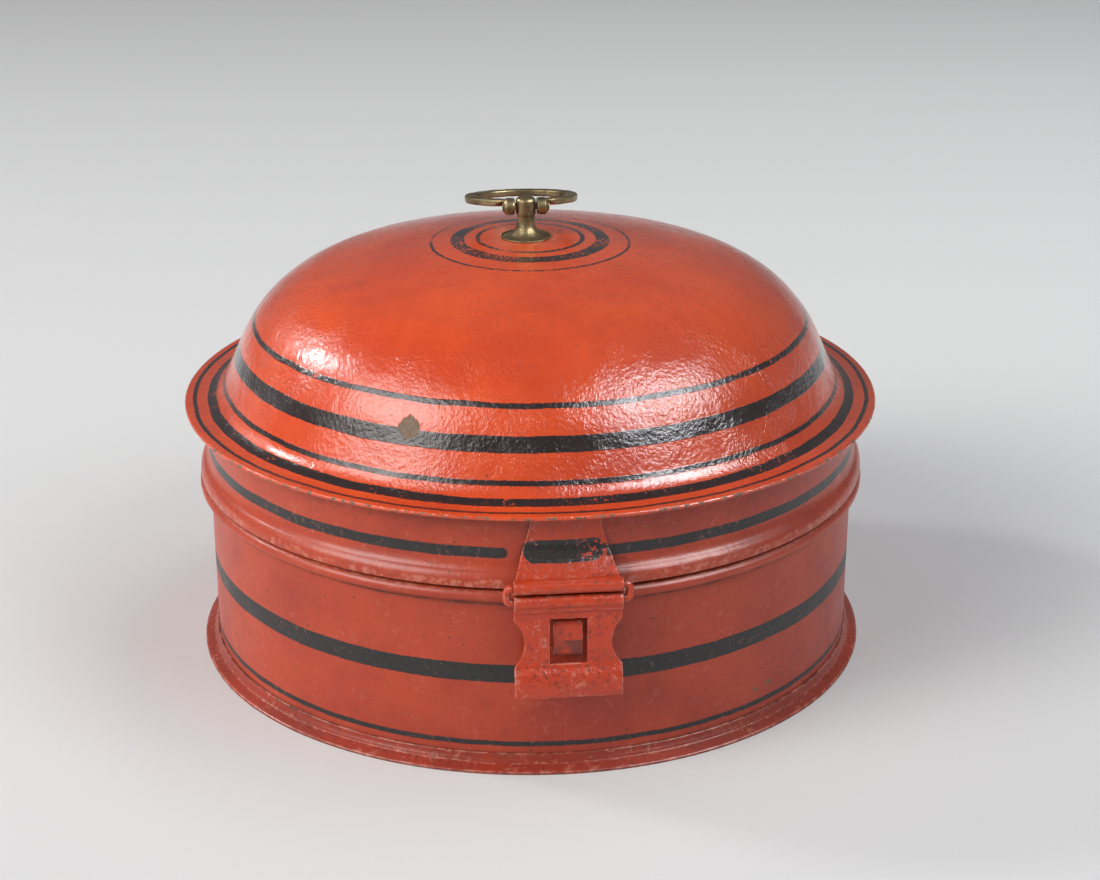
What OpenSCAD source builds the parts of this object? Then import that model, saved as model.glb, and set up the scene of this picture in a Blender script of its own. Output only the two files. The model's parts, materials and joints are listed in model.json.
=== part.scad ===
// Round japanned tin with a domed, hinged lid, a front hasp and staple, a brass ring handle
// and a lift-out sieve inside. Millimetres. +Z is up, the origin is on the tin's axis at the
// surface it stands on, the hasp is at -Y and the hinge at +Y.

/* [Body] */
// Outside radius of the body's wall and of the lid's skirt
body_r = 89; // [86:0.5:90]
// Height of the bead that the lid rests on
body_h = 50; // [48:1:60]
// How far the body's bead stands out from the wall
bead_out = 2.8; // [2:0.1:3]
// Thickness of the tinned sheet
sheet_t = 0.6; // [0.4:0.1:0.7]
// Radius of the foot's edge
foot_r = 93; // [92:0.5:95]

/* [Lid] */
// Height of the skirt from its lower edge to the top of the brim
skirt_h = 20.2; // [18:0.1:24]
// Radius of the brim
brim_r = 94.75; // [94:0.25:96]
// Height of the dome above the brim
dome_h = 42.3; // [41:0.1:44]
// Radius of the curve over the dome's crown
crown_r = 205; // [195:5:215]
// Radius of the dome's shoulder
shoulder_r = 36.1; // [35:0.1:37]
// Slope of the dome's side, in degrees from level
side_slope = 65.5; // [62:0.5:68]
// Radius of the cove between the dome's side and the brim
cove_r = 7; // [5:0.5:8]

/* [Handle] */
// How far the handle stands to one side of the axis
handle_x = -1.1; // [-2:0.1:2]
// Outside diameter of the ring
ring_d = 31; // [28:0.5:34]
// Width of the ring's flat band
ring_w = 3.25; // [2.5:0.25:4]
// Thickness of the ring
ring_t = 1.9; // [1.5:0.1:2.2]
// How far the resting ring slopes down towards its far side, in degrees
ring_tilt = 9.2; // [5:0.1:11]

/* [Hasp] */
// Distance of the hasp's pivots in front of the axis
hasp_y = 95.5; // [95:0.5:97]
// Width of the hasp's barrels
hasp_w = 26.6; // [24:0.1:27]
// Distance between the link's two pivots
link_h = 3.8; // [3.8:0.1:5]
// Width of the plate at its waist
waist_w = 21.4; // [18:0.1:24]
// Width of the slot
slot_w = 9.2; // [8:0.1:10]
// Height of the slot
slot_h = 12; // [11.5:0.1:13]
// Width of the staple
staple_w = 7.3; // [5:0.1:7.5]

/* [Sieve] */
// Outside radius of the sieve's hoop
hoop_r = 81; // [76:0.5:82]
// Height of the hoop's upper edge above the foot
hoop_top = 54; // [50:0.5:55]
// Height of the ledge that carries the sieve
ledge_z = 22; // [18:0.5:26]

/* [Hidden] */
$fn = 96;

// Clearances
BORE_GAP = 0.07;     // a wire in its barrel, on the radius
PIN_GAP = 0.05;      // the handle's pin in the post's head and the ring's eyes, on the radius
EDGE_GAP = 0.3;      // between pieces that move past each other

// Levels and radii that follow from the driving dimensions
wall_in = body_r - sheet_t;
lid_z = body_h + 0.5;               // the lid's lower edge
brim_z = lid_z + skirt_h;           // the brim's upper face
apex_z = brim_z + dome_h;
floor_z = 2.6;                      // underside of the base plate
hem_t = 0.5;                        // the fold under the brim's edge
strap_t = 0.7;                      // the hasp's and the hinge's sheet
wire_r = 1.0;                       // the hasp's link, the hinge's pin and the sieve's loops
bore_r = wire_r + BORE_GAP;
barrel_r = 1.75;
link_top_z = body_h + 2.9;          // upper pivot of the hasp's link
link_low_z = link_top_z - link_h;
hinge_y = 94.5;
hinge_z = body_h;
hinge_w = 30;
knuckle_w = 12;

RED = "firebrick";
ORANGE = "orangered";
BRASS = "darkgoldenrod";
TIN = "silver";

// ---- shared outlines and pieces ----

// Points on an arc from angle a0 to a1, in n steps.
function arc(c, r, a0, a1, n) =
    [for (i = [0 : n]) let (a = a0 + (a1 - a0) * i / n) c + r * [cos(a), sin(a)]];

// Points on half an ellipse that bulges outwards between two heights.
function bulge(r, z0, z1, out, n) =
    [for (i = [0 : n]) let (a = -90 + 180 * i / n)
        [r + out * cos(a), (z0 + z1) / 2 + (z1 - z0) / 2 * sin(a)]];

// The outline's other face, a sheet's thickness to the left of the direction of travel.
function other_face(p, t) = let (n = len(p) - 1)
    [for (i = [0 : n]) let (d = p[min(i + 1, n)] - p[max(i - 1, 0)], u = d / norm(d))
        p[i] + t * [-u.y, u.x]];

function reversed(p) = [for (i = [len(p) - 1 : -1 : 0]) p[i]];

// A band of sheet that follows an outline, with its other face to the left.
module sheet_outline(p, t = sheet_t) polygon(concat(p, reversed(other_face(p, t))));

// A sheet pressed or turned to an outline all round the axis.
module turned_sheet(p, t = sheet_t) rotate_extrude() sheet_outline(p, t);

// A plain ring of rectangular section.
module ring_band(r_in, r_out, z0, z1) rotate_extrude()
    translate([r_in, z0]) square([r_out - r_in, z1 - z0]);

// A cylinder along X, centred on the origin.
module x_rod(r, len) rotate([0, 90, 0]) cylinder(r = r, h = len, center = true);

// A closed wire loop in the XZ plane, hanging from an upper run along X at the origin.
module wire_loop(w, h, corner_r, r = wire_r) {
    for (z = [0, -h]) translate([0, 0, z]) x_rod(r, w - 2 * corner_r);
    for (x = [-w / 2, w / 2]) translate([x, 0, corner_r - h]) cylinder(r = r, h = h - 2 * corner_r);
    for (q = [0 : 3]) let (sx = (q == 0 || q == 3) ? 1 : -1, sz = q < 2 ? 0 : 1)
        translate([sx * (w / 2 - corner_r), 0, -corner_r - sz * (h - 2 * corner_r)])
            rotate([90, 0, 0]) rotate([0, 0, 90 * q])
                rotate_extrude(angle = 90) translate([corner_r, 0]) circle(r);
}

// ---- body ----

module body_wall() color(RED) turned_sheet(concat([[body_r, 0.9], [body_r, body_h - 4.4]],
    bulge(body_r, body_h - 4, body_h, bead_out, 14)));

// The inner rim that the lid's skirt slips over.
collar_out = 1.4;                   // how far the collar stands inside the lid's skirt
module body_collar() color(TIN) turned_sheet([[wall_in, body_h - 7], [wall_in, body_h - 0.6],
    [wall_in - 0.5, body_h + 0.8], [wall_in - collar_out + 0.2, body_h + 2.2],
    [wall_in - collar_out, body_h + 4], [wall_in - collar_out, body_h + 9]]);

module base_plate() color(TIN) translate([0, 0, floor_z]) cylinder(r = wall_in, h = sheet_t);

// The flared foot, soldered outside the wall's lower edge.
module foot_ring() color(RED) rotate_extrude() polygon([[body_r, 4.2], [body_r + 0.5, 4.1],
    [body_r + 0.75, 3.1], [body_r + 1.15, 2.35], [body_r + 1.25, 1.95], [body_r + 1.6, 1.75],
    [foot_r - 0.15, 0.65], [foot_r, 0.45], [foot_r, 0], [foot_r - 0.8, 0], [body_r + 1.3, 1.1],
    [body_r + 0.6, 1.7], [body_r, 2.8]]);

ledge_in = 77;                      // the ledge's inner radius
module sieve_ledge() color(TIN) rotate_extrude() polygon([[wall_in, ledge_z - 6],
    [wall_in, ledge_z], [ledge_in, ledge_z], [ledge_in, ledge_z - sheet_t],
    [wall_in - sheet_t, ledge_z - sheet_t], [wall_in - sheet_t, ledge_z - 6]]);

// ---- hasp, from the staple on the wall to the strap on the lid ----

plate_t = 0.8;
staple_h = 11;
slot_z = link_low_z - 4.7 - slot_h; // the slot's lower edge
staple_z = slot_z + 0.7;            // the staple's lower edge
staple_t = 0.9;
staple_nose = hasp_y - plate_t / 2 - EDGE_GAP;

// Outline of the staple's loop in the YZ plane, with a rounded front, shrunk by inset.
module staple_outline(inset) hull() {
    corner = 2.6 - inset;
    for (z = [staple_z + 2.6, staple_z + staple_h - 2.6])
        translate([staple_nose - 2.6, z]) circle(corner, $fn = 48);
    translate([body_r - 4, staple_z + inset]) square([1, staple_h - 2 * inset]);
}

module staple() color(RED) difference() {
    translate([staple_w / 2, 0, 0]) rotate([90, 0, -90]) linear_extrude(staple_w)
        difference() {
            staple_outline(0);
            staple_outline(staple_t);
        }
    cylinder(r = body_r, h = body_h);
}

// Half the width of a strap that spreads towards its barrel, at height z.
strap_top = brim_z - sheet_t - 0.4;
function spread(z, top_w, low_w, end_z) =
    (top_w + (low_w - top_w) * pow((strap_top - z) / (strap_top - end_z), 1.5)) / 2;

// A strap that lies on the skirt and stands out over the lid's edge to a barrel along X.
module lid_strap(pivot_r, pivot_z, top_w, low_w) intersection() {
    rotate_extrude() sheet_outline([[body_r + 0.05, strap_top], [body_r + 0.05, lid_z + 11],
        [body_r + 0.5, lid_z + 9.3], [body_r + 1.6, lid_z + 7.1],
        [pivot_r - 2.8, lid_z + 5.1], [pivot_r - 0.9, pivot_z + 1.2],
        [pivot_r + 0.7, pivot_z + 1.1]], strap_t);
    rotate([90, 0, 0]) linear_extrude(pivot_r + 5) polygon(concat(
        [for (i = [0 : 10]) let (z = strap_top + (pivot_z - strap_top) * i / 10)
            [-spread(z, top_w, low_w, pivot_z), z]],
        [for (i = [10 : -1 : 0]) let (z = strap_top + (pivot_z - strap_top) * i / 10)
            [spread(z, top_w, low_w, pivot_z), z]]));
}

module hasp_strap() color(RED) difference() {
    union() {
        lid_strap(hasp_y, link_top_z, 16.8, hasp_w);
        translate([0, -hasp_y, link_top_z]) x_rod(barrel_r, hasp_w);
    }
    translate([0, -hasp_y, link_top_z]) x_rod(bore_r, hasp_w + 2);
}

link_w = 29.9;                      // between the centres of the link's two ends
link_corner_r = 1.2;
module hasp_link() color(RED) translate([0, -hasp_y, link_top_z])
    wire_loop(link_w, link_h, link_corner_r);

plate_low = 23.9;                   // the plate's lower edge
plate_w = hasp_w - 0.1;
scallop_z = slot_z + slot_h / 2 - 0.4;
scallop_h = 12.2;
scallop_in = (plate_w - waist_w) / 2;
scallop_r = (pow(scallop_h / 2, 2) + pow(scallop_in, 2)) / (2 * scallop_in);

// The plate's section: flat down past the slot, then a finger lip that rolls outwards.
module plate_section() sheet_outline([[hasp_y + plate_t / 2, link_low_z - 1],
    [hasp_y + plate_t / 2, slot_z + 0.4], [hasp_y + 0.7, slot_z - 0.9],
    [hasp_y + 1.5, slot_z - 2.2], [hasp_y + 2.1, slot_z - 3.8], [hasp_y + 2.3, slot_z - 5.5],
    [hasp_y + 2.15, slot_z - 7.2], [hasp_y + 1.8, plate_low]], -plate_t);

module hasp_plate() color(RED) difference() {
    union() {
        translate([plate_w / 2, 0, 0]) rotate([90, 0, -90]) linear_extrude(plate_w) {
            plate_section();
            // the lap of the sheet where it comes back round the wire
            translate([hasp_y + plate_t / 2, link_low_z - 2.4]) square([0.6, 1.6]);
        }
        translate([0, -hasp_y, link_low_z]) x_rod(barrel_r, plate_w);
    }
    translate([0, -hasp_y, link_low_z]) x_rod(bore_r, plate_w + 2);
    for (s = [-1, 1]) translate([s * (waist_w / 2 + scallop_r), 0, scallop_z])
        rotate([90, 0, 0]) cylinder(r = scallop_r, h = 2 * hasp_y);
    translate([-slot_w / 2, -hasp_y - 1, slot_z]) cube([slot_w, 2, slot_h]);
}

// ---- hinge ----

// The body's leaf lies on the wall and stands out over the bead to the two outer knuckles.
leaf_low = 24;
module hinge_body_leaf() color(RED) difference() {
    union() {
        intersection() {
            rotate_extrude() sheet_outline([[hinge_y + 0.3, hinge_z - 1.2],
                [body_r + bead_out + 0.7, hinge_z - 2.6], [body_r + bead_out + 0.3, hinge_z - 4],
                [body_r + 1.9, hinge_z - 5.6], [body_r + 0.05, hinge_z - 7.6],
                [body_r + 0.05, leaf_low]], strap_t);
            translate([-hinge_w / 2, 0, 0]) cube([hinge_w, 2 * hinge_y, body_h]);
        }
        translate([0, hinge_y, hinge_z]) x_rod(barrel_r, hinge_w);
    }
    // room for the lid's knuckle
    translate([0, hinge_y, hinge_z]) x_rod(barrel_r + 0.5, knuckle_w + 2 * EDGE_GAP);
    translate([0, hinge_y, hinge_z]) x_rod(wire_r, hinge_w + 2);
}

module hinge_lid_leaf() color(RED) difference() {
    union() {
        rotate([0, 0, 180]) lid_strap(hinge_y, hinge_z, 26, knuckle_w);
        translate([0, hinge_y, hinge_z]) x_rod(barrel_r, knuckle_w);
    }
    translate([0, hinge_y, hinge_z]) x_rod(bore_r, knuckle_w + 2);
    // room for the body's knuckles, beside this one
    for (s = [-1, 1]) translate([s * (knuckle_w + hinge_w) / 2, hinge_y, hinge_z])
        x_rod(barrel_r + 0.5, hinge_w);
}

module hinge_pin() color(TIN) translate([0, hinge_y, hinge_z]) {
    x_rod(wire_r, hinge_w);
    for (s = [-1, 1]) translate([s * (hinge_w / 2 + 0.4), 0, 0]) x_rod(1.5, 0.8);
}

// ---- lid ----

// The crown, shoulder, straight side and cove join tangentially. The dome's side passes
// through the point where the shoulder's arc ends.
seat_r = 8;                         // flat under the handle's foot
crown_c = [0, apex_z - crown_r];
crown_end = 15.86;                  // slope where the crown gives way to the shoulder
shoulder_c = crown_c + (crown_r - shoulder_r) * [sin(crown_end), cos(crown_end)];
side_n = [sin(side_slope), cos(side_slope)];
shoulder_end = shoulder_c + shoulder_r * side_n;
// how far down the side the cove starts, so that it meets the brim level
side_len = (shoulder_end.y - brim_z - cove_r * (1 - cos(side_slope))) / sin(side_slope);
cove_start = shoulder_end + side_len * [cos(side_slope), -sin(side_slope)];
cove_c = cove_start + cove_r * side_n;
seat_z = crown_c.y + sqrt(pow(crown_r, 2) - pow(seat_r, 2));

module lid_dome() color(ORANGE) difference() {
    rotate_extrude() polygon(concat(
        let (top = concat([[0, seat_z]],
            arc(crown_c, crown_r, 90 - asin(seat_r / crown_r), 90 - crown_end, 16),
            arc(shoulder_c, shoulder_r, 88 - crown_end, 90 - side_slope, 18),
            arc(cove_c, cove_r, 270 - side_slope, 270, 9)))
        concat([[0, seat_z - sheet_t]], [for (p = other_face(top, -sheet_t)) if (p.x > 0.01) p],
            [[brim_r - 2.2, brim_z - sheet_t], [brim_r - 2.2, brim_z - sheet_t - hem_t],
            [brim_r - 0.3, brim_z - sheet_t - hem_t], [brim_r, brim_z - sheet_t - hem_t + 0.3],
            [brim_r, brim_z - 0.3], [brim_r - 0.3, brim_z]], reversed(top))));
    translate([handle_x, 0, seat_z - 2]) cylinder(r = shank_r + PIN_GAP, h = 4);
}

module lid_skirt() color(RED) turned_sheet(concat([[body_r + 2.5, lid_z]],
    arc([body_r - 1.5, lid_z + 0.9], 4, 0, 55, 6),
    [[body_r + 0.5, lid_z + 5.1], [body_r + 0.15, lid_z + 5.9], [body_r, lid_z + 6.8],
    [body_r, brim_z - sheet_t]]));

// ---- handle ----

shank_r = 1.5;
pin_z = apex_z + 8.3;
post_top = apex_z + 10.6;
head_r = 2.7;
neck_r = 2.4;
foot_flare_r = 6.7;
washer_t = 1;
washer_z = seat_z - sheet_t - washer_t;

module handle_post() color(BRASS) translate([handle_x, 0, 0]) difference() {
    rotate_extrude() polygon(concat(
        [[0, washer_z - 1], [1.8, washer_z - 1], [2.4, washer_z - 0.6], [2.4, washer_z],
        [shank_r, washer_z], [shank_r, seat_z], [foot_flare_r, seat_z],
        [foot_flare_r, seat_z + 0.5]],
        arc([foot_flare_r + 0.1, pin_z - 4], 4.4, 262, 180, 8),
        [[neck_r, pin_z - 2.3], [head_r, pin_z - 2], [head_r, post_top - 0.5],
        [head_r - 0.4, post_top], [head_r - 1.2, post_top + 0.5], [0, post_top + 0.7]]));
    translate([0, 0, pin_z]) x_rod(pin_r + PIN_GAP, 4 * head_r);
}

module handle_washer() color(BRASS) translate([handle_x, 0, washer_z]) difference() {
    cylinder(r = 5, h = washer_t);
    translate([0, 0, -1]) cylinder(r = shank_r, h = washer_t + 2);
}

pin_r = 0.9;
rivet_r = 1.3;                      // the pin's riveted ends
rivet_t = 0.4;
eye_in = head_r + EDGE_GAP;
eye_out = 5.9;
eye_r = 2.3;

module handle_pin() color(BRASS) translate([handle_x, 0, pin_z]) {
    x_rod(pin_r, 2 * eye_out);
    for (s = [-1, 1]) translate([s * (eye_out + rivet_t / 2), 0, 0]) x_rod(rivet_r, rivet_t);
}

// The ring's lower face lies in the pin's plane, and its band is cut away at the post and
// round the pin's riveted ends.
module handle_ring() color(BRASS) translate([handle_x, 0, pin_z]) rotate([-ring_tilt, 0, 0])
    difference() {
        union() {
            translate([0, (ring_d - ring_w) / 2, 0]) rotate_extrude()
                translate([ring_d / 2 - ring_w, 0]) polygon([[0.3, 0], [ring_w - 0.3, 0],
                    [ring_w, 0.3], [ring_w, ring_t - 0.3], [ring_w - 0.3, ring_t],
                    [0.3, ring_t], [0, ring_t - 0.3], [0, 0.3]]);
            for (s = [-1, 1]) translate([s * eye_in, 0, 0]) rotate([0, s * 90, 0])
                rotate_extrude() polygon([[0, 0], [eye_r - 0.3, 0], [eye_r, 0.4],
                    [eye_r, eye_out - eye_in - 0.7], [eye_r - 0.6, eye_out - eye_in],
                    [0, eye_out - eye_in]]);
        }
        translate([-eye_in, -ring_d / 4, -eye_r - 1]) cube([2 * eye_in, ring_d / 2, 2 * eye_r + 2]);
        x_rod(pin_r + PIN_GAP, 4 * eye_out);
        for (s = [-1, 1]) translate([s * (eye_out + (rivet_t + EDGE_GAP) / 2), 0, 0])
            x_rod(rivet_r + PIN_GAP, rivet_t + EDGE_GAP);
    }

// ---- sieve ----

mesh_z = ledge_z + 0.8;
mesh_t = 0.6;
curl_r = 1.8;
curl_c = [hoop_r + curl_r - sheet_t, hoop_top - curl_r];

// The hoop's upper edge is turned round a wire.
module sieve_hoop() color(TIN) rotate_extrude() difference() {
    union() {
        translate([hoop_r - sheet_t, mesh_z + mesh_t])
            square([sheet_t, hoop_top - curl_r - mesh_z - mesh_t]);
        translate(curl_c) circle(curl_r);
    }
    translate(curl_c) circle(curl_r - sheet_t);
}

module sieve_rim_wire() color(TIN) rotate_extrude() translate(curl_c) circle(curl_r - sheet_t);

module sieve_mesh() color("lightgrey") translate([0, 0, mesh_z]) cylinder(r = hoop_r, h = mesh_t);

// The angle ring that holds the mesh's edge against the hoop.
clamp_h = 9;
module sieve_clamp_ring() color(TIN) rotate_extrude() polygon([[hoop_r, ledge_z + clamp_h],
    [hoop_r + sheet_t, ledge_z + clamp_h], [hoop_r + sheet_t, ledge_z],
    [hoop_r - 3, ledge_z], [hoop_r - 3, mesh_z], [hoop_r, mesh_z]]);

loop_w = 18;
loop_h = 14;
loop_corner_r = 4;
loop_r = hoop_r - 3.1;              // distance of the loops' pivots from the axis
loop_z = hoop_top - 5;
clip_w = 8;

module sieve_clips() color(TIN) for (side = [0, 180]) rotate([0, 0, side]) difference() {
    union() {
        intersection() {
            ring_band(hoop_r - 2 * sheet_t, hoop_r - sheet_t, loop_z - 6, loop_z + barrel_r);
            translate([0, -clip_w / 2, 0]) cube([hoop_r, clip_w, hoop_top]);
        }
        translate([loop_r, -clip_w / 2, loop_z + bore_r])
            cube([hoop_r - 1.7 * sheet_t - loop_r, clip_w, barrel_r - bore_r]);
        translate([loop_r, 0, loop_z]) rotate([0, 0, 90]) x_rod(barrel_r, clip_w);
    }
    translate([loop_r, 0, loop_z]) rotate([0, 0, 90]) x_rod(bore_r, clip_w + 2);
}

module sieve_loop(side) color(TIN) translate([side * loop_r, 0, loop_z]) rotate([0, 0, 90])
    wire_loop(loop_w, loop_h, loop_corner_r);

module sieve_loop_left() sieve_loop(-1);
module sieve_loop_right() sieve_loop(1);

body_wall();
body_collar();
base_plate();
foot_ring();
sieve_ledge();
staple();
hinge_body_leaf();
hinge_pin();
lid_dome();
lid_skirt();
hinge_lid_leaf();
hasp_strap();
hasp_link();
hasp_plate();
handle_post();
handle_washer();
handle_pin();
handle_ring();
sieve_hoop();
sieve_rim_wire();
sieve_mesh();
sieve_clamp_ring();
sieve_clips();
sieve_loop_left();
sieve_loop_right();
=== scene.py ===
"""A round japanned tin with a hinged domed lid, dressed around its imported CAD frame.

Lengths are in metres in the frame's own axes: +Z up, the hasp at -Y and the hinge at +Y.
"""

import json
import math

import bmesh
import bpy
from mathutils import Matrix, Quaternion, Vector, noise

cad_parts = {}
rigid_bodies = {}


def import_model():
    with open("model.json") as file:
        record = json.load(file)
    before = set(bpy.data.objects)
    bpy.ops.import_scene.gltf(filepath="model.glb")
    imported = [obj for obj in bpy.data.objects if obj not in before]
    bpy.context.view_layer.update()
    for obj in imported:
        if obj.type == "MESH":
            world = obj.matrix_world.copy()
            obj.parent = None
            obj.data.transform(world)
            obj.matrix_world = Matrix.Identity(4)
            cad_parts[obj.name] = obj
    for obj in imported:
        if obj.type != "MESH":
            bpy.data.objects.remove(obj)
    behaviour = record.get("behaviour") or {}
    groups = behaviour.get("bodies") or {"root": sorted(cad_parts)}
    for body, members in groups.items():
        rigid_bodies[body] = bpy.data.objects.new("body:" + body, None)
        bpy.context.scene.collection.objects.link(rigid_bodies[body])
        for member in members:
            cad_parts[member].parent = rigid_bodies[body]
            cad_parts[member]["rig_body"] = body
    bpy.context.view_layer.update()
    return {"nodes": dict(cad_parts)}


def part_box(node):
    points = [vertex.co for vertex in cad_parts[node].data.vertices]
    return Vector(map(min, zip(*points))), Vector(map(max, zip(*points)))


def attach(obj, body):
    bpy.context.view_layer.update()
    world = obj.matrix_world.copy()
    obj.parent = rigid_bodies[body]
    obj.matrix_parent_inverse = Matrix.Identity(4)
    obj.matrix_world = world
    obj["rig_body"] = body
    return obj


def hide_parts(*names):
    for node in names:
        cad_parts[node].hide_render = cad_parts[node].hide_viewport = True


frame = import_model()
nodes = frame["nodes"]
MM = 0.001

# ---- camera, lights and floor ----

CAMERA_AT = Vector((-53.9, -576.9, 278.4)) * MM
CAMERA_LOOK = Vector((0.0953, 0.9275, -0.3615))
CAMERA_ROLL = math.radians(-0.075)
LENS_MM = 72.63
SENSOR_MM = 36
CENTRE = Vector((0, 0, 60)) * MM
FLOOR_AIM = Vector((420, 380, 0)) * MM
FLOOR_SIZE = 24.0
FLOOR_GREY = (0.66, 0.66, 0.66, 1)
SKY = (0.80, 0.81, 0.83, 1)
SKY_STRENGTH = 0.20
WHITE = (1, 1, 1)
WARM = (1.0, 0.985, 0.96)
WARM_CARD = (1.0, 0.97, 0.96)
COOL = (0.93, 0.96, 1.0)
COOL_CARD = (0.95, 0.97, 1.0)
COOL_WASH = (0.97, 0.98, 1.0)

# A card lights reflections only, and a wash doesn't show in them
CARD = {"diffuse": False}
KEY_WASH = {"aim": FLOOR_AIM, "glossy": False, "spread": 70}
BACK_WASH = {"aim": FLOOR_AIM, "glossy": False, "spread": 90}

# Name, azimuth and elevation in degrees, distance, width, height, power, colour and kind
LIGHTS = (
    ("key_box", -62, 34, 2.2, 1.6, 1.2, 24.5, WARM, {}),
    ("key_wash", -66, 30, 2.2, 0.8, 0.8, 3.4, WARM, KEY_WASH),
    ("key_card", -62, 34, 2.2, 1.5, 1.1, 38.0, WARM_CARD, CARD),
    ("fill_card", 54, 40, 1.5, 0.85, 0.70, 22.0, COOL_CARD, CARD),
    ("key_lamp", -115, 33, 1.6, 0.20, 0.20, 6.0, WHITE, {}),
    ("fill_box", 54, 42, 1.5, 0.95, 0.80, 8.0, COOL, {}),
    ("back_fill", 118, 60, 1.6, 0.8, 0.8, 2.0, COOL_WASH, BACK_WASH),
)


def make_camera():
    data = bpy.data.cameras.new("camera")
    data.lens = LENS_MM
    data.sensor_width = SENSOR_MM
    camera = bpy.data.objects.new("camera", data)
    camera.location = CAMERA_AT
    camera.rotation_mode = "QUATERNION"
    roll = Quaternion((0, 0, 1), CAMERA_ROLL)
    camera.rotation_quaternion = CAMERA_LOOK.to_track_quat("-Z", "Y") @ roll
    bpy.context.scene.collection.objects.link(camera)
    bpy.context.scene.camera = camera


def soft_box(name, azimuth, elevation, distance, width, height, power, colour,
             aim=CENTRE, glossy=True, spread=180, diffuse=True):
    """A rectangular light round the tin. Azimuth 0 is in front, and 90 is at its +X side."""
    data = bpy.data.lights.new(name, "AREA")
    data.shape = "RECTANGLE"
    data.size = width
    data.size_y = height
    data.energy = power
    data.spread = math.radians(spread)
    data.color = colour
    light = bpy.data.objects.new(name, data)
    a, e = math.radians(azimuth), math.radians(elevation)
    out = Vector((math.sin(a) * math.cos(e), -math.cos(a) * math.cos(e), math.sin(e)))
    light.location = CENTRE + out * distance
    light.rotation_mode = "QUATERNION"
    light.rotation_quaternion = (aim - light.location).to_track_quat("-Z", "Y")
    light.visible_glossy = glossy
    light.visible_diffuse = diffuse
    bpy.context.scene.collection.objects.link(light)


def make_lights():
    for *measures, kind in LIGHTS:
        soft_box(*measures, **kind)
    world = bpy.data.worlds.new("studio")
    world.use_nodes = True
    back = world.node_tree.nodes["Background"]
    back.inputs["Color"].default_value = SKY
    back.inputs["Strength"].default_value = SKY_STRENGTH
    bpy.context.scene.world = world
    bpy.context.scene.view_settings.view_transform = "Standard"


def make_floor():
    bpy.ops.mesh.primitive_plane_add(size=FLOOR_SIZE)
    floor = bpy.context.object
    floor.name = "floor"
    paper = Graph("studio_paper")
    paper.set(base=FLOOR_GREY, roughness=0.9)
    paper.bump([(paper.noise(1.2 * MM, 4), 0.02 * MM)])
    floor.data.materials.append(paper.material)


# ---- node graphs ----

# Ambient occlusion of an open surface, and of a deep corner
OPEN_AO = 0.86
DEEP_AO = 0.42


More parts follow.
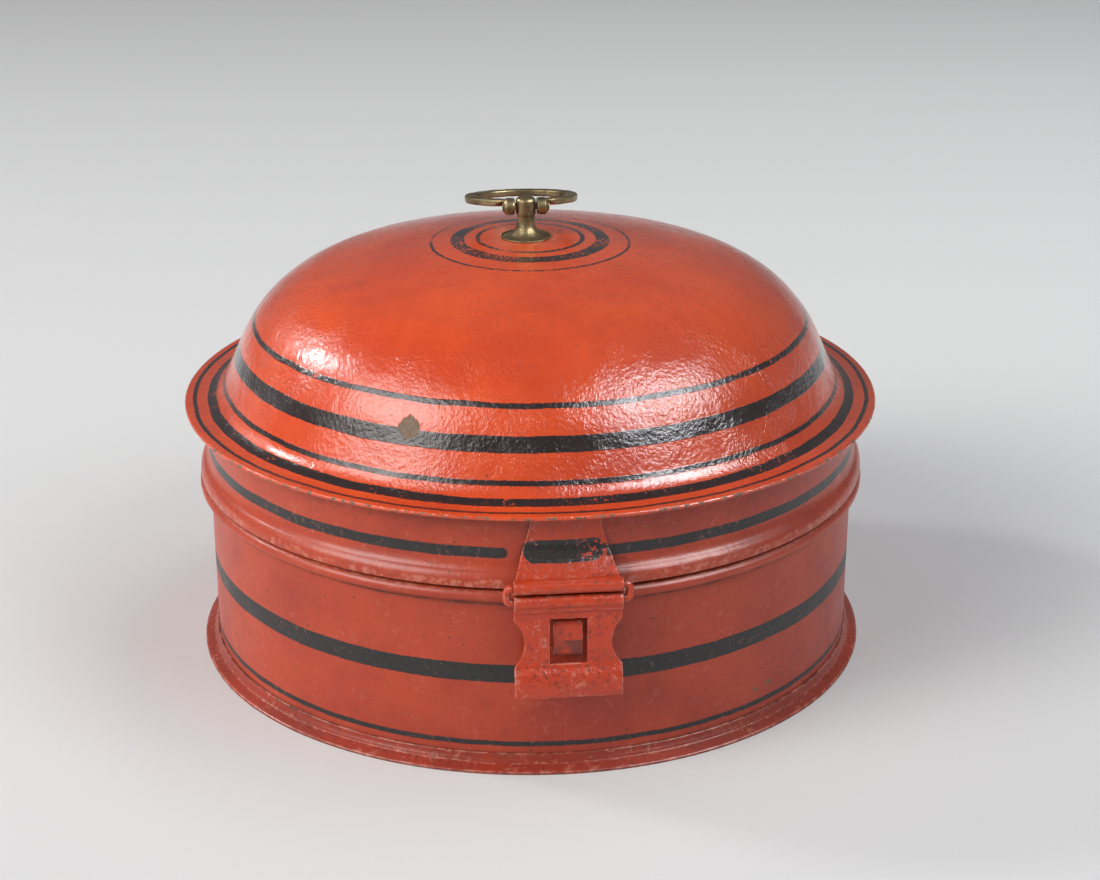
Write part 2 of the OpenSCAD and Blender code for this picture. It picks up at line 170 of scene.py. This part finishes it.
class Graph:
    """A material and its node graph, with short calls for the nodes that the finishes share."""

    def __init__(self, name):
        self.material = bpy.data.materials.new(name)
        self.material.use_nodes = True
        self.tree = self.material.node_tree
        self.shader = self.tree.nodes["Principled BSDF"]
        self.place = self.node("ShaderNodeTexCoord").outputs["Object"]
        split = self.node("ShaderNodeSeparateXYZ")
        self.feed(split.inputs[0], self.place)
        self.x, self.y, self.z = split.outputs
        self.radius = self.math("SQRT", self.math("ADD", self.math("MULTIPLY", self.x, self.x),
                                                  self.math("MULTIPLY", self.y, self.y)))

    def node(self, kind, **settings):
        made = self.tree.nodes.new(kind)
        for key, value in settings.items():
            setattr(made, key, value)
        return made

    def feed(self, socket, value):
        if isinstance(value, bpy.types.NodeSocket):
            self.tree.links.new(value, socket)
        else:
            socket.default_value = value

    def set(self, base=None, roughness=None, metal=None, coat=None, coat_roughness=None,
            specular=None):
        names = {"Base Color": base, "Roughness": roughness, "Metallic": metal,
                 "Coat Weight": coat, "Coat Roughness": coat_roughness,
                 "Specular IOR Level": specular}
        for name, value in names.items():
            if value is not None:
                self.feed(self.shader.inputs[name], value)

    def math(self, operation, *values):
        made = self.node("ShaderNodeMath", operation=operation)
        for socket, value in zip(made.inputs, values):
            self.feed(socket, value)
        return made.outputs[0]

    def noise(self, size, detail=2, rough=0.5, stretch=None):
        """Noise between 0 and 1 whose features are about as wide as size."""
        where = self.place
        if stretch:
            grown = self.node("ShaderNodeVectorMath", operation="MULTIPLY")
            self.feed(grown.inputs[0], where)
            grown.inputs[1].default_value = stretch
            where = grown.outputs[0]
        made = self.node("ShaderNodeTexNoise")
        self.feed(made.inputs["Vector"], where)
        made.inputs["Scale"].default_value = 1 / size
        made.inputs["Detail"].default_value = detail
        made.inputs["Roughness"].default_value = rough
        return made.outputs["Fac"]

    def cells(self, size):
        """Distance to the nearest of scattered points, in cell widths."""
        made = self.node("ShaderNodeTexVoronoi")
        self.feed(made.inputs["Vector"], self.place)
        made.inputs["Scale"].default_value = 1 / size
        return made.outputs["Distance"]

    def step(self, value, low, high):
        """0 below low and 1 above high, or the other way round if low is the larger."""
        made = self.node("ShaderNodeMapRange", interpolation_type="SMOOTHSTEP")
        self.feed(made.inputs["Value"], value)
        if low < high:
            made.inputs["From Min"].default_value = low
            made.inputs["From Max"].default_value = high
        else:
            made.inputs["From Min"].default_value = high
            made.inputs["From Max"].default_value = low
            made.inputs["To Min"].default_value = 1
            made.inputs["To Max"].default_value = 0
        return made.outputs["Result"]

    def mix(self, share, a, b):
        made = self.node("ShaderNodeMix", data_type="RGBA")
        self.feed(made.inputs["Factor"], share)
        self.feed(made.inputs[6], a)
        self.feed(made.inputs[7], b)
        return made.outputs[2]

    def blend(self, share, a, b):
        made = self.node("ShaderNodeMix", data_type="FLOAT")
        self.feed(made.inputs["Factor"], share)
        self.feed(made.inputs[2], a)
        self.feed(made.inputs[3], b)
        return made.outputs[0]

    def most(self, *values):
        found = values[0]
        for value in values[1:]:
            found = self.math("MAXIMUM", found, value)
        return found

    def times(self, *values):
        found = values[0]
        for value in values[1:]:
            found = self.math("MULTIPLY", found, value)
        return found

    def bump(self, heights, sockets=("Normal",)):
        """Relief from a list of (height, depth in metres), on the named normal sockets."""
        total = None
        for height, depth in heights:
            part = self.math("MULTIPLY", height, depth)
            total = part if total is None else self.math("ADD", total, part)
        made = self.node("ShaderNodeBump")
        made.inputs["Strength"].default_value = 1
        made.inputs["Distance"].default_value = 1
        self.feed(made.inputs["Height"], total)
        for name in sockets:
            self.feed(self.shader.inputs[name], made.outputs["Normal"])

    def edges(self, low, high):
        """1 on convex edges of a dense mesh."""
        point = self.node("ShaderNodeNewGeometry").outputs["Pointiness"]
        return self.step(point, low, high)

    def hollows(self, reach):
        """1 deep in corners, where other pieces or folds stand within reach."""
        made = self.node("ShaderNodeAmbientOcclusion", samples=4)
        made.inputs["Distance"].default_value = reach
        return self.step(made.outputs["AO"], OPEN_AO, DEEP_AO)

    def near(self, spot, size, ragged=0.35):
        """1 inside a ragged patch round a spot."""
        away = self.node("ShaderNodeVectorMath", operation="DISTANCE")
        self.feed(away.inputs[0], self.place)
        away.inputs[1].default_value = spot
        torn = self.noise(size * 0.6, 3)
        edge = self.math("MULTIPLY_ADD", torn, 2 * ragged * size, away.outputs["Value"])
        return self.step(edge, size * (1 + ragged), size * (0.9 + ragged))


# ---- japanning ----

DOME_RED = (0.69, 0.074, 0.012, 1)
DOME_DEEP = (0.57, 0.053, 0.011, 1)
SIDE_RED = (0.45, 0.055, 0.021, 1)
SIDE_DEEP = (0.34, 0.036, 0.016, 1)
FOOT_DEEP = (0.25, 0.028, 0.014, 1)
HASP_RED = (0.57, 0.046, 0.009, 1)
HASP_DEEP = (0.46, 0.042, 0.013, 1)
LID_BLACK = (0.020, 0.010, 0.010, 1)
BODY_BLACK = (0.022, 0.020, 0.020, 1)
CHIP = (0.25, 0.155, 0.09, 1)
# Pale pink for worn edges, pale soil and dust nibs, and for painted highlights along ridges
PALE_WEAR_AND_HIGHLIGHT = (0.66, 0.27, 0.19, 1)
# Dark brown for painted shade in hollows and grooves, and for dark soil
SHADE_AND_GRIME = (0.055, 0.022, 0.015, 1)
PIN_SPOT = (0.09, 0.03, 0.02, 1)
LACQUER_SPECULAR = 0.34
COAT_ROUGHNESS_SHARE = 0.36
CHIP_ROUGHNESS = 0.6
BRUSH_EDGE = 0.08 * MM
END_EDGE = 0.1 * MM


def shade(colour, factor):
    """A colour made darker or lighter, and never past 1."""
    return tuple(min(1, factor * v) for v in colour[:3]) + (1,)


def wander(g, wide=0.35 * MM, fine=0.22 * MM):
    """How far a brushed edge strays from its line."""
    slow = g.math("MULTIPLY", g.math("SUBTRACT", g.noise(14 * MM, 1), 0.5), 2 * wide)
    quick = g.math("MULTIPLY", g.math("SUBTRACT", g.noise(0.9 * MM, 2), 0.5), 2 * fine)
    return g.math("ADD", slow, quick)


def line(g, along, low, high, cover=1.0, stray=None):
    """A painted line between two values of a coordinate. A cover under 1 wears it through."""
    stray = wander(g) if stray is None else stray
    away = g.math("ABSOLUTE", g.math("SUBTRACT", g.math("ADD", along, stray), (low + high) / 2))
    mask = g.step(away, (high - low) / 2 + BRUSH_EDGE, (high - low) / 2 - BRUSH_EDGE)
    if cover < 1:
        thin = g.math("MULTIPLY_ADD", g.noise(9 * MM, 1), 0.5, g.noise(0.8 * MM, 3))
        mask = g.times(mask, g.step(thin, 1.02 - 0.55 * cover, 0.90 - 0.55 * cover + 0.25))
    return mask


def blackened(g, tone, mask, black):
    """The colour with the black lines over it, which hold a little pale dust."""
    dusty = g.step(g.noise(0.7 * MM, 3), 0.5, 0.8)
    return g.mix(mask, tone, g.mix(dusty, black, shade(black, 2.2)))


def shaded_and_soiled(g, tone, shade_bands, soil):
    """The colour with painted shade in hollows and in given bands, in patches, and dark and pale
    soil all over.
    """
    # Painted shade: darker where ambient occlusion finds folds or other pieces nearby, and along the
    # given bands
    share = g.times(g.hollows(3.2 * MM), g.step(g.noise(1.8 * MM, 4, 0.6), 0.30, 0.55))
    for along, low, high in shade_bands:
        band = g.times(line(g, getattr(g, along), low, high),
                       g.step(g.noise(4 * MM, 3), 0.3, 0.6))
        share = g.most(share, band)
    tone = g.mix(g.math("MULTIPLY", share, 0.72), tone, SHADE_AND_GRIME)
    if soil:
        dark = g.times(g.step(g.noise(1.3 * MM, 5, 0.7), 0.51, 0.62),
                       g.step(g.noise(7 * MM, 2), 0.38, 0.58))
        tone = g.mix(g.math("MULTIPLY", dark, soil), tone, SHADE_AND_GRIME)
        pale = g.times(g.step(g.noise(1.7 * MM, 5, 0.7), 0.54, 0.63),
                       g.step(g.noise(9 * MM, 2), 0.44, 0.58))
        tone = g.mix(g.math("MULTIPLY", pale, 0.7 * soil), tone, PALE_WEAR_AND_HIGHLIGHT)
    return tone


def chipped_away(g, wear, rim, marks):
    """Where the lacquer is gone: on worn edges, past the radius rim and round given spots."""
    masks = []
    if wear:
        patches = g.step(g.noise(1.6 * MM, 3), 0.62 - 0.2 * wear, 0.70 - 0.2 * wear)
        masks.append(g.times(g.edges(0.515, 0.545), patches))
    if rim:
        patches = g.step(g.noise(2.0 * MM, 4, 0.65), 0.53, 0.58)
        masks.append(g.times(g.step(g.radius, rim, rim + 0.25 * MM), patches))
    masks += [g.near(spot, size) for spot, size in marks]
    return g.most(*masks) if masks else None


def lacquer_relief(g, relief, nibs, black_mask, chips, seam):
    """Waves, wrinkles and nibs in the lacquer, the thickness of lines and chips, and a side seam."""
    patchy = g.step(g.noise(16 * MM, 2), 0.42, 0.62)
    wrinkles = g.times(g.noise(1.0 * MM, 3, 0.6), g.math("MULTIPLY_ADD", patchy, 0.7, 0.45))
    heights = []
    if seam:
        front = g.step(g.y, 0.0, -10 * MM)
        heights.append((g.times(g.step(g.x, -0.4 * MM, 0.4 * MM), front), 0.12 * MM))
    heights += [
        (g.noise(2.6 * MM, 2), 0.022 * MM * relief),
        (wrinkles, 0.046 * MM * relief),
        (nibs, 0.03 * MM * relief),
    ]
    if black_mask:
        heights.append((black_mask, 0.02 * MM))
    if chips:
        heights.append((chips, -0.06 * MM))
    g.bump(heights, ("Normal", "Coat Normal"))


def japan(name, red, deep, black=BODY_BLACK, lines=None, roughness=0.34, coat=0.3, relief=6.0,
          wear=0.0, marks=(), rim=None, bright_ridges=(), shade_bands=(), seam=False, soil=0.0):
    """Brushed red lacquer with black lines, dust nibs, pin spots, soil, painted shade, painted
    highlights, worn edges and chips.
    """
    g = Graph(name)
    black_mask = lines(g) if lines else None
    tone = g.mix(g.step(g.noise(26 * MM, 4, 0.6), 0.35, 0.68), red, deep)
    streak = g.noise(2.2 * MM, 3, 0.6, stretch=(0.25, 0.25, 1.6))
    tone = g.mix(g.math("MULTIPLY", g.step(streak, 0.45, 0.75), 0.22), tone, deep)
    spots = g.times(g.step(g.cells(4.6 * MM), 0.10, 0.055), g.step(g.noise(21 * MM, 1), 0.42, 0.56))
    tone = g.mix(g.math("MULTIPLY", spots, 0.75), tone, PIN_SPOT)
    rough = g.blend(g.noise(7 * MM, 3), roughness * 0.8, roughness * 1.25)
    if black_mask:
        tone = blackened(g, tone, black_mask, black)
    nibs = g.step(g.cells(3.1 * MM), 0.07, 0.02)
    tone = g.mix(g.times(nibs, g.step(g.noise(11 * MM), 0.5, 0.7), 0.5), tone, PALE_WEAR_AND_HIGHLIGHT)
    # Pale lines along the given ridges: painted highlights, partly rubbed paint
    for along, low, high in bright_ridges:
        bright = g.times(line(g, getattr(g, along), low, high),
                         g.step(g.noise(2.2 * MM, 4, 0.6), 0.46, 0.62))
        tone = g.mix(g.math("MULTIPLY", bright, 0.45), tone, PALE_WEAR_AND_HIGHLIGHT)
    tone = shaded_and_soiled(g, tone, shade_bands, soil)
    if wear:
        worn = g.times(g.edges(0.503, 0.53), g.step(g.noise(2.6 * MM, 4, 0.6), 0.44, 0.60), 0.65)
        tone = g.mix(worn, tone, PALE_WEAR_AND_HIGHLIGHT)
    chips = chipped_away(g, wear, rim, marks)
    if chips:
        tone = g.mix(chips, tone, g.mix(g.noise(0.9 * MM, 3), CHIP, shade(CHIP, 0.35)))
        rough = g.blend(chips, rough, CHIP_ROUGHNESS)
        coat = g.blend(chips, coat, 0.0)
    g.set(base=tone, roughness=rough, coat=coat, coat_roughness=roughness * COAT_ROUGHNESS_SHARE,
          specular=LACQUER_SPECULAR)
    lacquer_relief(g, relief, nibs, black_mask, chips, seam)
    return g.material


# Coordinate, lower and upper edge in mm, and how complete the line is
DOME_LINES = (
    ("radius", 13.6, 14.8, 0.90),
    ("radius", 17.7, 21.5, 0.86),
    ("radius", 26.4, 27.2, 0.76),
    ("z", 91.2, 92.4, 0.985),
    ("z", 81.5, 85.3, 1.0),
    ("z", 74.3, 75.5, 1.0),
    ("radius", 86.2, 88.7, 0.99),
    ("radius", 91.6, 92.7, 1.0),
)
WALL_LINES = (
    ("z", 23.8, 28.7, 1.0),
    ("z", 6.0, 7.4, 1.0),
)
SKIRT_BAND = (57.4 * MM, 60.2 * MM)
STROKE = (57.5 * MM, 62.8 * MM)
STROKE_JOIN = (58.3 * MM, 61.0 * MM)


def lines_in(g, table):
    """All the lines of a table, which stray together."""
    stray = wander(g)
    return g.most(*(line(g, getattr(g, along), low * MM, high * MM, cover, stray)
                    for along, low, high, cover in table))


def dome_lines(g):
    """Rings round the handle and in the cove by radius, lines round the shoulder by height."""
    return lines_in(g, DOME_LINES)


def wall_lines(g):
    """A broad band round the wall, and a thin line above the foot."""
    return lines_in(g, WALL_LINES)


def rounded_end(g, end_x, low, high, towards):
    """A stroke's mask from a rounded end at end_x, running in the direction towards, -1 or 1."""
    half = (high - low) / 2
    past = g.math("MAXIMUM", g.times(g.math("SUBTRACT", g.x, end_x), -towards), 0)
    rise = g.math("SUBTRACT", g.math("ADD", g.z, wander(g)), (low + high) / 2)
    reach = g.math("SQRT", g.math("ADD", g.times(past, past), g.times(rise, rise)))
    return g.step(reach, half + END_EDGE, half - END_EDGE)


def skirt_lines(g):
    """The line round the skirt stops short of the strap's left side."""
    left = rounded_end(g, -15.4 * MM, *SKIRT_BAND, -1)
    right = rounded_end(g, 6 * MM, *SKIRT_BAND, 1)
    behind = g.times(line(g, g.z, *SKIRT_BAND), g.step(g.y, -10 * MM, 10 * MM))
    return g.most(left, right, behind)


def strap_lines(g):
    """A short thick stroke on the strap, and the skirt's line running into its right end."""
    left = rounded_end(g, -7.9 * MM, *STROKE, 1)
    right = rounded_end(g, 6.6 * MM, *STROKE, -1)
    chipped = g.step(g.noise(1.1 * MM, 3), 0.62, 0.54)
    ragged = g.most(chipped, g.step(g.x, 6 * MM, 2 * MM))
    join = rounded_end(g, 4 * MM, *STROKE_JOIN, 1)
    return g.times(g.most(g.times(left, right), join), ragged)


# ---- metals ----

METAL_SHARE = 0.92


def metal(name, bright, dull, roughness, relief, tarnish=0.5):
    """Old metal: dull in random patches, worn brighter on the edges, with fine scratches."""
    g = Graph(name)
    stain = g.step(g.noise(5 * MM, 4, 0.6), 0.65 - 0.4 * tarnish, 0.80 - 0.25 * tarnish)
    tone = g.mix(stain, bright, dull)
    bright_ridges = g.math("MULTIPLY", g.edges(0.51, 0.56), 0.7)
    tone = g.mix(bright_ridges, tone, shade(bright, 1.5))
    fine = g.noise(0.5 * MM, 4, 0.7)
    tone = g.mix(g.math("MULTIPLY", g.step(fine, 0.5, 0.75), 0.35), tone, dull)
    rough = g.blend(stain, roughness * 0.8, roughness * 1.3)
    g.set(base=tone, roughness=rough, metal=METAL_SHARE)
    g.bump([(fine, 0.012 * MM * relief), (g.noise(2 * MM, 2), 0.03 * MM * relief)])
    return g.material


# ---- shapes ----

SEAM_TOLERANCE = 1e-6
WELD = 2e-6
TURNS = 384
DOME_TURNS = 400
SIEVE_TURNS = 240
BLUNT = math.radians(145)
CORNER_SHARE = 0.45
LUMPS = 0.08 * MM
LUMP_SIZE = 2.2 * MM
SLOW_DENT_SIZE = 30 * MM
QUICK_DENT_SIZE = 9 * MM
SLOW_DENT_MM = 0.10
QUICK_DENT_MM = 0.035
CLOTH_MARGIN = 0.5 * MM


def outline(node):
    """A turned CAD node's closed section, as (radius, height) pairs in order."""
    mesh = bmesh.new()
    mesh.from_mesh(nodes[node].data)
    bmesh.ops.remove_doubles(mesh, verts=mesh.verts, dist=WELD)
    seam = [v for v in mesh.verts if v.co.x > 0 and abs(v.co.y) < SEAM_TOLERANCE]
    joined = {v: [e.other_vert(v) for e in v.link_edges if e.other_vert(v) in seam] for v in seam}
    # The seam has no edge across some flat rings, so their two open ends are joined
    for v in seam:
        for other in seam:
            level = abs(v.co.z - other.co.z) < SEAM_TOLERANCE
            if other is not v and len(joined[v]) == 1 and len(joined[other]) == 1 and level:
                joined[v].append(other)
                joined[other].append(v)
    path = [seam[0]]
    while True:
        ways = [v for v in joined[path[-1]] if v not in path]
        if not ways:
            break
        path.append(ways[0])
    points = [Vector((v.co.x, v.co.z)) for v in path]
    mesh.free()
    return points


def softened(points, edge):
    """The closed outline with its sharp corners rounded off."""
    made = []
    count = len(points)
    for i, p in enumerate(points):
        before, after = points[i - 1] - p, points[(i + 1) % count] - p
        if before.angle(after) > BLUNT:
            made.append(p)
            continue
        a = p + before.normalized() * min(edge, before.length * CORNER_SHARE)
        b = p + after.normalized() * min(edge, after.length * CORNER_SHARE)
        made += [a * (1 - t) ** 2 + p * 2 * t * (1 - t) + b * t * t
                 for t in (0, 0.25, 0.5, 0.75, 1)]
    return made


def curved(points, step):
    """The closed outline with points added along a smooth curve through it."""
    made = []
    count = len(points)
    for i, p in enumerate(points):
        q = points[(i + 1) % count]
        chord = (q - p).length
        into = (q - points[i - 1]).normalized() * chord
        out = (points[(i + 2) % count] - p).normalized() * chord
        steps = max(1, round(chord / step))
        for k in range(steps):
            t = k / steps
            made.append(p * (2 * t**3 - 3 * t**2 + 1) + into * (t**3 - 2 * t**2 + t)
                        + q * (3 * t**2 - 2 * t**3) + out * (t**3 - t**2))
    return made


def dents(p, seed):
    """Slow unevenness of hand-worked sheet at a point, in metres."""
    slow = noise.noise(p / SLOW_DENT_SIZE + Vector((seed, 0, 0)))
    quick = noise.noise(p / QUICK_DENT_SIZE + Vector((0, seed, 0)))
    return (SLOW_DENT_MM * slow + QUICK_DENT_MM * quick) * MM


def turned(name, node, step, relief=dents, materials=(), hidden=None, edge=0.15 * MM, turns=TURNS,
           seed=1.0):
    """A dense copy of a turned CAD node. hidden picks the second material's faces."""
    section = curved(softened(outline(node), edge), step)
    count = len(section)
    area = sum(a.x * b.y - b.x * a.y for a, b in zip(section, section[1:] + section[:1]))
    if area < 0:
        section.reverse()
    points = []
    for i in range(turns):
        a = 2 * math.pi * i / turns
        outwards = Vector((math.cos(a), math.sin(a), 0))
        for p in section:
            place = outwards * p.x + Vector((0, 0, p.y))
            shift = relief(place, seed)
            points.append(place + outwards * shift + Vector((0, 0, shift * 0.4)))
    faces = []
    for i in range(turns):
        for j in range(count):
            k, m = (i + 1) % turns, (j + 1) % count
            faces.append((i * count + j, k * count + j, k * count + m, i * count + m))
    mesh = bpy.data.meshes.new(name)
    mesh.from_pydata(points, [], faces)
    return finish_piece(name, mesh, node, materials, hidden)


def finish_piece(name, mesh, node, materials, hidden=None):
    """Makes the piece that stands for a CAD node: it rides on its body, takes the given materials,
    and hides the node.

    hidden(centre, normal) says which faces have the second material.
    """
    mesh.validate()
    fixed = bmesh.new()
    fixed.from_mesh(mesh)
    bmesh.ops.recalc_face_normals(fixed, faces=fixed.faces)
    fixed.to_mesh(mesh)
    fixed.free()
    for material in materials:
        mesh.materials.append(material)
    if hidden:
        for face in mesh.polygons:
            face.material_index = 1 if hidden(face.center, face.normal) else 0
    mesh.shade_smooth()
    piece = bpy.data.objects.new(name, mesh)
    bpy.context.scene.collection.objects.link(piece)
    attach(piece, nodes[node]["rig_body"])
    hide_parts(node)
    return piece


def true_seat(p, seed):
    """No unevenness, for rings that seat on each other."""
    return 0.0


# The bores along X, each as its (y, z)
LINK_TOP = Vector((-95.5, 52.9)) * MM
LINK_LOW = Vector((-95.5, 49.1)) * MM
HINGE = Vector((94.5, 50.0)) * MM
HANDLE_PIN = Vector((0.0, 121.3)) * MM
BORE_WALL = 1.25 * MM
CALM_WIDTH = 0.6 * MM


def calm(p, bores):
    """0 at the wall of a bore along X, rising to 1 away from it."""
    share = 1.0
    for bore in bores:
        away = (Vector((p.y, p.z)) - bore).length
        share = min(share, max(0.0, (away - BORE_WALL) / CALM_WIDTH))
    return share


def rounded(name, node, voxel, passes, materials, unevenness=LUMPS, seed=1, bores=()):
    """A dense copy of a CAD node whose edges are rounded, as thick paint or wear rounds them."""
    mesh = nodes[node].data.copy()
    copy = bpy.data.objects.new(name + "_source", mesh)
    bpy.context.scene.collection.objects.link(copy)
    weld = copy.modifiers.new("weld", "WELD")
    weld.merge_threshold = WELD
    remesh = copy.modifiers.new("remesh", "REMESH")
    remesh.mode = "VOXEL"
    remesh.voxel_size = voxel
    smooth = copy.modifiers.new("smooth", "SMOOTH")
    smooth.factor = 0.5
    smooth.iterations = passes
    depsgraph = bpy.context.evaluated_depsgraph_get()
    made = bpy.data.meshes.new_from_object(copy.evaluated_get(depsgraph))
    bpy.data.objects.remove(copy)
    made.materials.clear()
    outwards = [v.normal.copy() for v in made.vertices]
    for v, out in zip(made.vertices, outwards):
        lump = noise.noise(v.co / LUMP_SIZE + Vector((seed, seed, 0))) * unevenness
        v.co += out * lump * calm(v.co, bores)
    return finish_piece(name, made, node, materials)


def wire_cloth(node, pitch, wire_r, material):
    """Plain-woven wire cloth over a disc: two sets of wires that pass over and under in turn."""
    low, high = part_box(node)
    radius = (high.x - low.x) / 2 - CLOTH_MARGIN
    level = (low.z + high.z) / 2
    count = int(radius / pitch)
    points, faces = [], []
    sides = 4
    for crosswise in (False, True):
        for i in range(-count, count + 1):
            offset = (i + 0.5) * pitch
            if abs(offset) >= radius:
                continue
            half = math.sqrt(radius**2 - offset**2)
            steps = int(half / pitch)
            start = len(points)
            for k in range(-steps * 2, steps * 2 + 1):
                run = k * pitch / 2
                lift = math.sin(math.pi * (run / pitch + i + (1 if crosswise else 0))) * wire_r
                for s in range(sides):
                    a = 2 * math.pi * (s + 0.5) / sides
                    across, up = math.cos(a) * wire_r, math.sin(a) * wire_r
                    flat = (run, offset + across) if crosswise else (offset + across, run)
                    points.append((*flat, level + lift + up))
            rings = steps * 4 + 1
            for k in range(rings - 1):
                for s in range(sides):
                    t = (s + 1) % sides
                    a = start + k * sides
                    faces.append((a + s, a + t, a + sides + t, a + sides + s))
            faces.append(tuple(start + s for s in range(sides)))
            faces.append(tuple(start + (rings - 1) * sides + s for s in range(sides)))
    mesh = bpy.data.meshes.new("wire_cloth")
    mesh.from_pydata(points, [], faces)
    return finish_piece("wire_cloth", mesh, node, [material])


# ---- pieces ----

make_camera()
make_lights()
make_floor()

DOME_CHIP = (Vector((-36.4, -70.0, 85.6)) * MM, 2.9 * MM)
WALL_SPOTS = (
    (Vector((51.2, -72.8, 10.4)) * MM, 0.7 * MM),
    (Vector((55.2, -69.8, 11.0)) * MM, 0.9 * MM),
)
dome_paint = japan("dome_japan", DOME_RED, DOME_DEEP, LID_BLACK, dome_lines,
                   roughness=0.26, coat=1.0, marks=(DOME_CHIP,), rim=94.35 * MM)
# A painted highlight along the skirt's ridge, partly rubbed paint
skirt_paint = japan("skirt_japan", SIDE_RED, SIDE_DEEP, lines=skirt_lines,
                    roughness=0.36, coat=0.22, relief=2.0, soil=0.25,
                    bright_ridges=(("radius", 91.35 * MM, 91.6 * MM),))
# A painted shadow under the body's bead, and a painted highlight along its top, partly rubbed paint
wall_paint = japan("wall_japan", SIDE_RED, SIDE_DEEP, lines=wall_lines,
                   roughness=0.40, coat=0.15, relief=1.5, soil=0.18, marks=WALL_SPOTS, seam=True,
                   bright_ridges=(("z", 49.25 * MM, 49.6 * MM),), shade_bands=(("z", 45.0 * MM, 46.2 * MM),))
# Painted shade in the groove where the wall meets the foot, and a painted highlight along the foot's
# ridge, partly rubbed paint
foot_paint = japan("foot_japan", SIDE_DEEP, FOOT_DEEP, coat=0.25, relief=2.4, soil=0.5, wear=0.3,
                   rim=92.85 * MM, bright_ridges=(("radius", 90.3 * MM, 90.6 * MM),),
                   shade_bands=(("radius", 88.9 * MM, 89.5 * MM),))
hasp_paint = japan("hasp_japan", HASP_RED, HASP_DEEP, wear=0.5, soil=0.6)
# Painted shade in a band across the staple, where it sits in the hasp's slot
staple_paint = japan("staple_japan", HASP_RED, HASP_DEEP, roughness=0.36, wear=0.6, soil=0.9,
                     shade_bands=(("z", 32.0 * MM, 38.0 * MM),))
strap_paint = japan("strap_japan", HASP_RED, SIDE_RED, lines=strap_lines, relief=4.0,
                    wear=0.4, soil=0.45)
brass = metal("old_brass", (0.31, 0.235, 0.125, 1), (0.10, 0.078, 0.042, 1),
              roughness=0.42, relief=1.6, tarnish=0.6)
tin = metal("bare_tin", (0.52, 0.51, 0.48, 1), (0.26, 0.25, 0.23, 1),
            roughness=0.38, relief=0.6, tarnish=0.4)
wire = metal("wire_cloth", (0.60, 0.59, 0.56, 1), (0.35, 0.34, 0.32, 1),
             roughness=0.34, relief=0.2, tarnish=0.3)

wall_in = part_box("base_plate")[1].x


def inside_dome(p, n):
    """The dome's under face within the skirt."""
    return math.hypot(p.x, p.y) < wall_in and n.dot(p - CENTRE) < 0


def inside_wall(p, n):
    """The faces of the wall or skirt that look inwards, or lie within the base plate's edge."""
    return n.x * p.x + n.y * p.y < 0 or math.hypot(p.x, p.y) < wall_in - 0.1 * MM


turned("lid_dome_skin", "lid_dome", 1.1 * MM, materials=[dome_paint, tin], hidden=inside_dome,
       turns=DOME_TURNS)
turned("lid_skirt_skin", "lid_skirt", 0.7 * MM, materials=[skirt_paint, tin], hidden=inside_wall,
       seed=2.0)
turned("body_wall_skin", "body_wall", 0.8 * MM, materials=[wall_paint, tin], hidden=inside_wall,
       seed=3.0)
turned("foot_ring_skin", "foot_ring", 0.4 * MM, materials=[foot_paint], seed=3.0)
turned("body_collar_skin", "body_collar", 0.8 * MM, materials=[tin], seed=4.0)
for index, ring in enumerate(("sieve_hoop", "sieve_ledge", "sieve_clamp_ring")):
    turned(ring + "_skin", ring, 1.0 * MM, materials=[tin], seed=5.0 + index, turns=SIEVE_TURNS,
           relief=dents if ring == "sieve_hoop" else true_seat)

# Node, voxel in mm, smoothing passes, finish, unevenness and bores
REFINED = (
    ("hasp_strap", 0.14, 4, strap_paint, LUMPS, (LINK_TOP,)),
    ("hasp_plate", 0.14, 4, hasp_paint, LUMPS, (LINK_LOW,)),
    ("hasp_link", 0.12, 2, hasp_paint, 0, ()),
    ("staple", 0.12, 3, staple_paint, LUMPS, ()),
    ("hinge_body_leaf", 0.16, 3, hasp_paint, LUMPS, (HINGE,)),
    ("hinge_lid_leaf", 0.16, 3, hasp_paint, LUMPS, (HINGE,)),
    ("handle_post", 0.12, 3, brass, LUMPS, (HANDLE_PIN,)),
    ("handle_ring", 0.14, 3, brass, LUMPS, (HANDLE_PIN,)),
    ("handle_pin", 0.10, 3, brass, 0, ()),
)
for seed, (name, voxel, passes, finish, lumps, bores) in enumerate(REFINED, start=1):
    rounded(name + "_skin", name, voxel * MM, passes, [finish], lumps, seed, bores)

wire_cloth("sieve_mesh", pitch=2.0 * MM, wire_r=0.25 * MM, material=wire)

# The CAD nodes that still show keep their meshes, and take a finish in their slots
FINISHES = {"handle_washer": brass}
for name, node in nodes.items():
    if not node.hide_render:
        for slot in node.material_slots:
            slot.material = FINISHES.get(name, tin)
